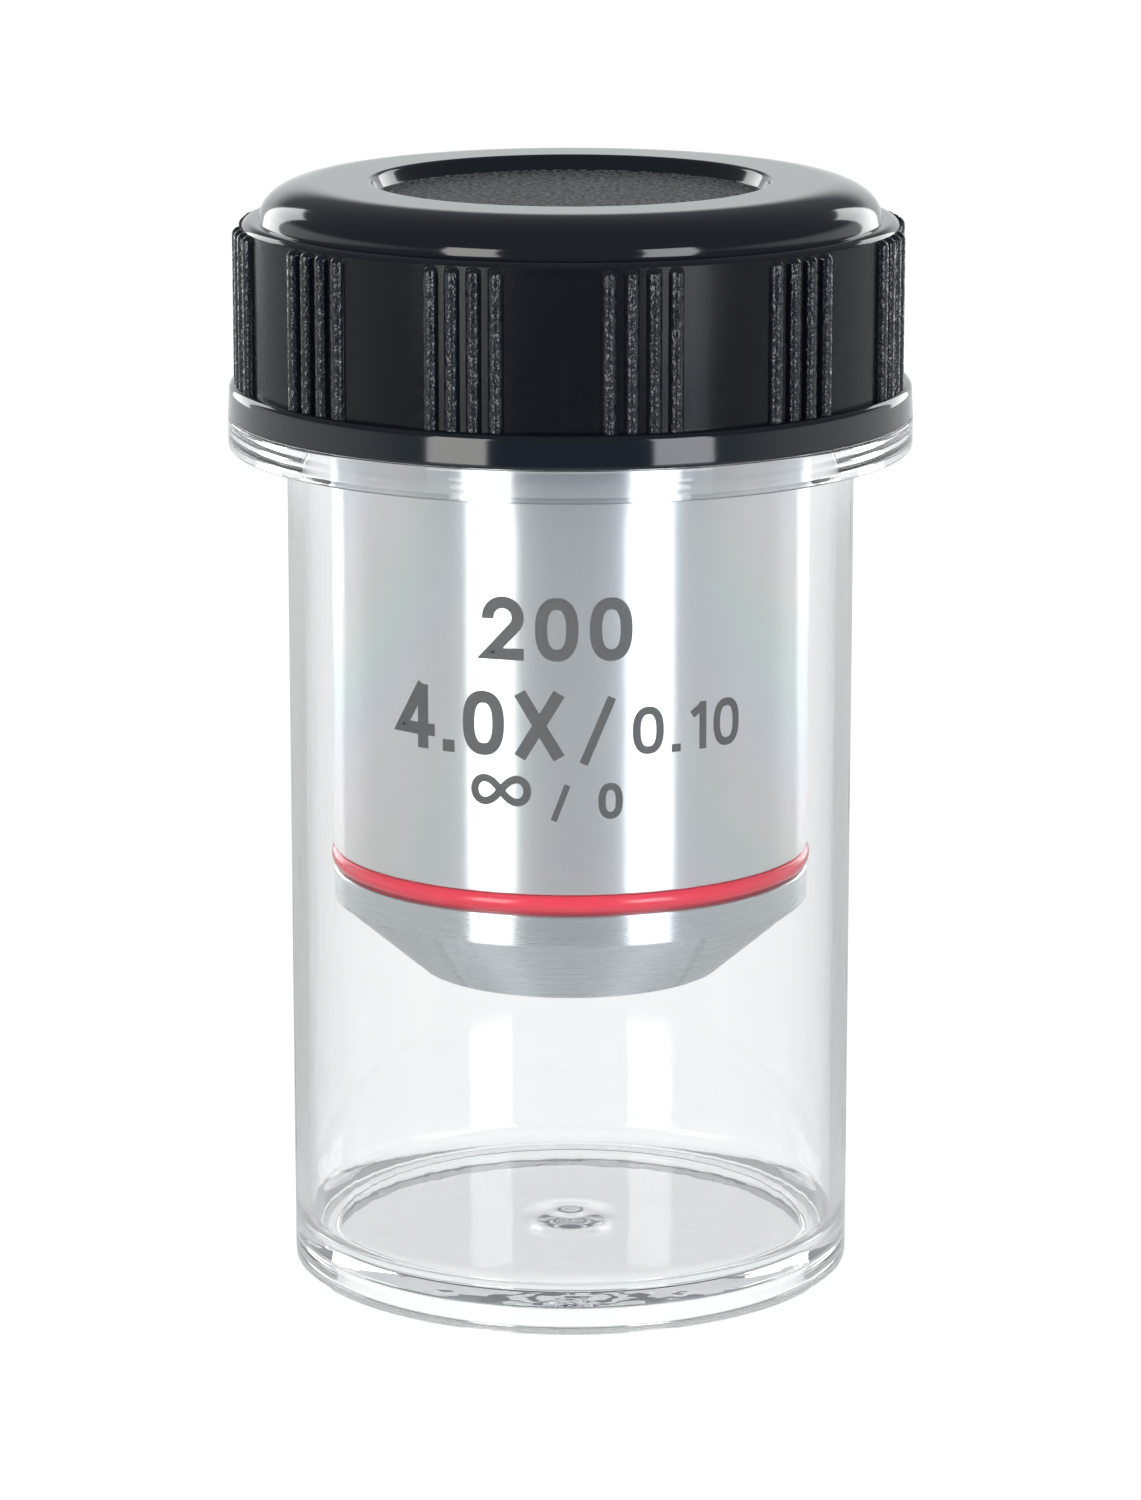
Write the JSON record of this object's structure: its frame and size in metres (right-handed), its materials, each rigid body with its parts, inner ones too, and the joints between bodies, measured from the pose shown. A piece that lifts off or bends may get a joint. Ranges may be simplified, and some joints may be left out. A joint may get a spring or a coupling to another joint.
{
  "type": "microscope objective",
  "caption": "Low-power infinity objective with a colour ring and conical nose, its thread screwed into a ribbed black cap that closes a clear storage canister.",
  "frame": {"origin": "centre of the canister's foot, on the surface that it stands on", "axes": "+Z along the optical axis, from the foot to the cap; one of the cap's rib groups stands 12 degrees from +X"},
  "size_m": [0.041, 0.041, 0.0664],
  "materials": {
    "clear_plastic": "clear polished moulding",
    "black_plastic": "glossy black moulding",
    "plated_thread": "plated, cut thread",
    "satin_barrel": "satin, finely turned",
    "red_enamel": "glossy red",
    "nose_metal": "bright turned",
    "black_anodised": "black anodised, matte",
    "optical_glass": "polished, coated",
    "screw_steel": "plain"
  },
  "bodies": {
    "canister": {"canister": "clear_plastic"},
    "cap": {"cap": "black_plastic"},
    "objective": {"mount_body": "plated_thread", "outer_barrel": "satin_barrel", "colour_ring": "red_enamel", "nose_cone": "nose_metal", "lens_sleeve": "black_anodised", "parfocal_shim": "black_anodised", "front_cell": "black_anodised", "front_lens": "optical_glass", "front_retainer": "black_anodised", "front_spacer": "black_anodised", "middle_cell": "black_anodised", "middle_lens_front": "optical_glass", "middle_lens_rear": "optical_glass", "middle_retainer": "black_anodised", "centring_screws": "screw_steel", "aperture_stop": "black_anodised", "rear_spacer": "black_anodised", "rear_cell": "black_anodised", "rear_lens_front": "optical_glass", "rear_lens_rear": "optical_glass", "rear_retainer": "black_anodised", "sleeve_retainer": "black_anodised"}
  },
  "joints": [
    {"name": "cap_lift", "type": "slide", "parent": "canister", "child": "cap", "axis": [0, 0, 1], "range_m": [0, 0.052]},
    {"name": "objective_unscrew", "type": "slide", "parent": "cap", "child": "objective", "axis": [0, 0, -1], "range_m": [0, 0.012]}
  ]
}
